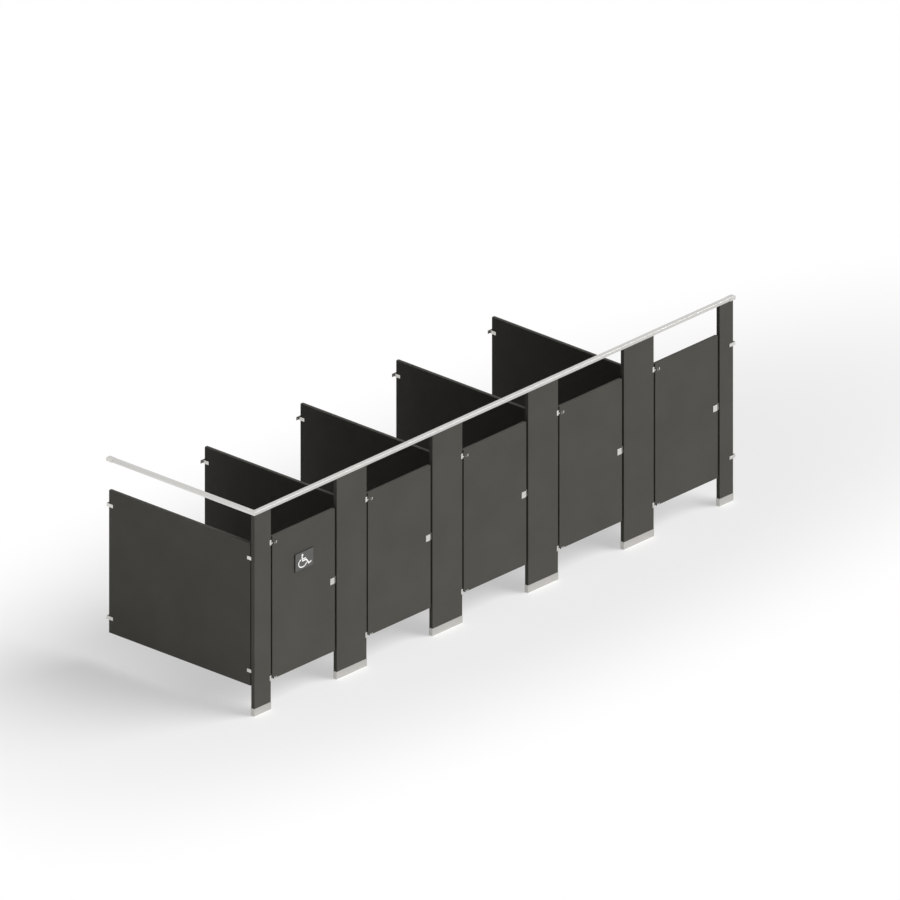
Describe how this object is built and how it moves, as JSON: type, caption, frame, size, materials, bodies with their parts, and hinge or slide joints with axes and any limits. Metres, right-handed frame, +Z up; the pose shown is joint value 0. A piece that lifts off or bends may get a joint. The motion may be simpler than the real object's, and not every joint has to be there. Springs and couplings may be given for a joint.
{
  "type": "toilet partition",
  "caption": "Overhead-braced toilet partition: a row of hinged cubicle doors between floor-fixed pilasters, with divider panels, headrail, wrap hinges and slide latches.",
  "frame": {"origin": "middle of the whole row's box, on the floor", "axes": "+X along the row of doors towards the right wall, +Y from the doors to the back wall, +Z up"},
  "size_m": [6.7134, 1.8924, 2.1072],
  "materials": {
    "powder_grey": "satin powder coat",
    "rail_aluminium": "satin anodised",
    "shoe_stainless": "brushed",
    "bright_hardware": "satin chrome",
    "fastener_steel": "satin",
    "zinc_steel": "zinc plated",
    "black_nylon": "matte",
    "bumper_rubber": "matte",
    "sign_plate": "matte"
  },
  "bodies": {
    "root": {"corner_pilaster": "powder_grey", "pilaster_2": "powder_grey", "pilaster_3": "powder_grey", "pilaster_4": "powder_grey", "pilaster_5": "powder_grey", "wall_pilaster": "powder_grey", "end_panel": "powder_grey", "divider_panel_1": "powder_grey", "divider_panel_2": "powder_grey", "divider_panel_3": "powder_grey", "divider_panel_4": "powder_grey", "headrail_front": "rail_aluminium", "headrail_return": "rail_aluminium", "pilaster_shoes": "shoe_stainless", "headrail_wall_sockets": "bright_hardware", "wall_brackets": "bright_hardware", "pilaster_brackets": "bright_hardware", "hinge_brackets": "bright_hardware", "strike_plates": "bright_hardware", "bracket_bolts": "fastener_steel", "hinge_bolts": "fastener_steel", "fixing_screws": "fastener_steel", "hinge_pins": "fastener_steel", "floor_bars": "zinc_steel", "levelling_studs": "zinc_steel", "levelling_nuts": "zinc_steel", "headrail_corner_plate": "zinc_steel", "hinge_bushes": "black_nylon", "stop_bumpers": "bumper_rubber"},
    "door_1": {"door_1_leaf": "powder_grey", "door_1_hinge_liners": "bright_hardware", "door_1_latch_housing": "bright_hardware", "door_1_coat_hook": "bright_hardware", "door_1_fasteners": "fastener_steel", "door_1_sign": "sign_plate"},
    "door_2": {"door_2_leaf": "powder_grey", "door_2_hinge_liners": "bright_hardware", "door_2_latch_housing": "bright_hardware", "door_2_coat_hook": "bright_hardware", "door_2_fasteners": "fastener_steel"},
    "door_3": {"door_3_leaf": "powder_grey", "door_3_hinge_liners": "bright_hardware", "door_3_latch_housing": "bright_hardware", "door_3_coat_hook": "bright_hardware", "door_3_fasteners": "fastener_steel"},
    "door_4": {"door_4_leaf": "powder_grey", "door_4_hinge_liners": "bright_hardware", "door_4_latch_housing": "bright_hardware", "door_4_coat_hook": "bright_hardware", "door_4_fasteners": "fastener_steel"},
    "door_5": {"door_5_leaf": "powder_grey", "door_5_hinge_liners": "bright_hardware", "door_5_latch_housing": "bright_hardware", "door_5_coat_hook": "bright_hardware", "door_5_fasteners": "fastener_steel"},
    "latch_1": {"door_1_latch_bolt": "bright_hardware"},
    "latch_2": {"door_2_latch_bolt": "bright_hardware"},
    "latch_3": {"door_3_latch_bolt": "bright_hardware"},
    "latch_4": {"door_4_latch_bolt": "bright_hardware"},
    "latch_5": {"door_5_latch_bolt": "bright_hardware"}
  },
  "joints": [
    {"name": "door_1_swing", "type": "hinge", "parent": "root", "child": "door_1", "pos_m": [-3.07035, -0.91685, 0.299], "axis": [0, 0, 1], "range_deg": [0, 95]},
    {"name": "latch_1_slide", "type": "slide", "parent": "door_1", "child": "latch_1", "axis": [1, 0, 0], "range_m": [0, 0.026]},
    {"name": "door_2_swing", "type": "hinge", "parent": "root", "child": "door_2", "pos_m": [-1.73535, -0.91685, 0.299], "axis": [0, 0, 1], "range_deg": [0, 95]},
    {"name": "latch_2_slide", "type": "slide", "parent": "door_2", "child": "latch_2", "axis": [1, 0, 0], "range_m": [0, 0.026]},
    {"name": "door_3_swing", "type": "hinge", "parent": "root", "child": "door_3", "pos_m": [-0.40035, -0.91685, 0.299], "axis": [0, 0, 1], "range_deg": [0, 95]},
    {"name": "latch_3_slide", "type": "slide", "parent": "door_3", "child": "latch_3", "axis": [1, 0, 0], "range_m": [0, 0.026]},
    {"name": "door_4_swing", "type": "hinge", "parent": "root", "child": "door_4", "pos_m": [0.93465, -0.91685, 0.299], "axis": [0, 0, 1], "range_deg": [0, 95]},
    {"name": "latch_4_slide", "type": "slide", "parent": "door_4", "child": "latch_4", "axis": [1, 0, 0], "range_m": [0, 0.026]},
    {"name": "door_5_swing", "type": "hinge", "parent": "root", "child": "door_5", "pos_m": [2.26965, -0.91685, 0.299], "axis": [0, 0, 1], "range_deg": [0, 95]},
    {"name": "latch_5_slide", "type": "slide", "parent": "door_5", "child": "latch_5", "axis": [1, 0, 0], "range_m": [0, 0.026]}
  ]
}
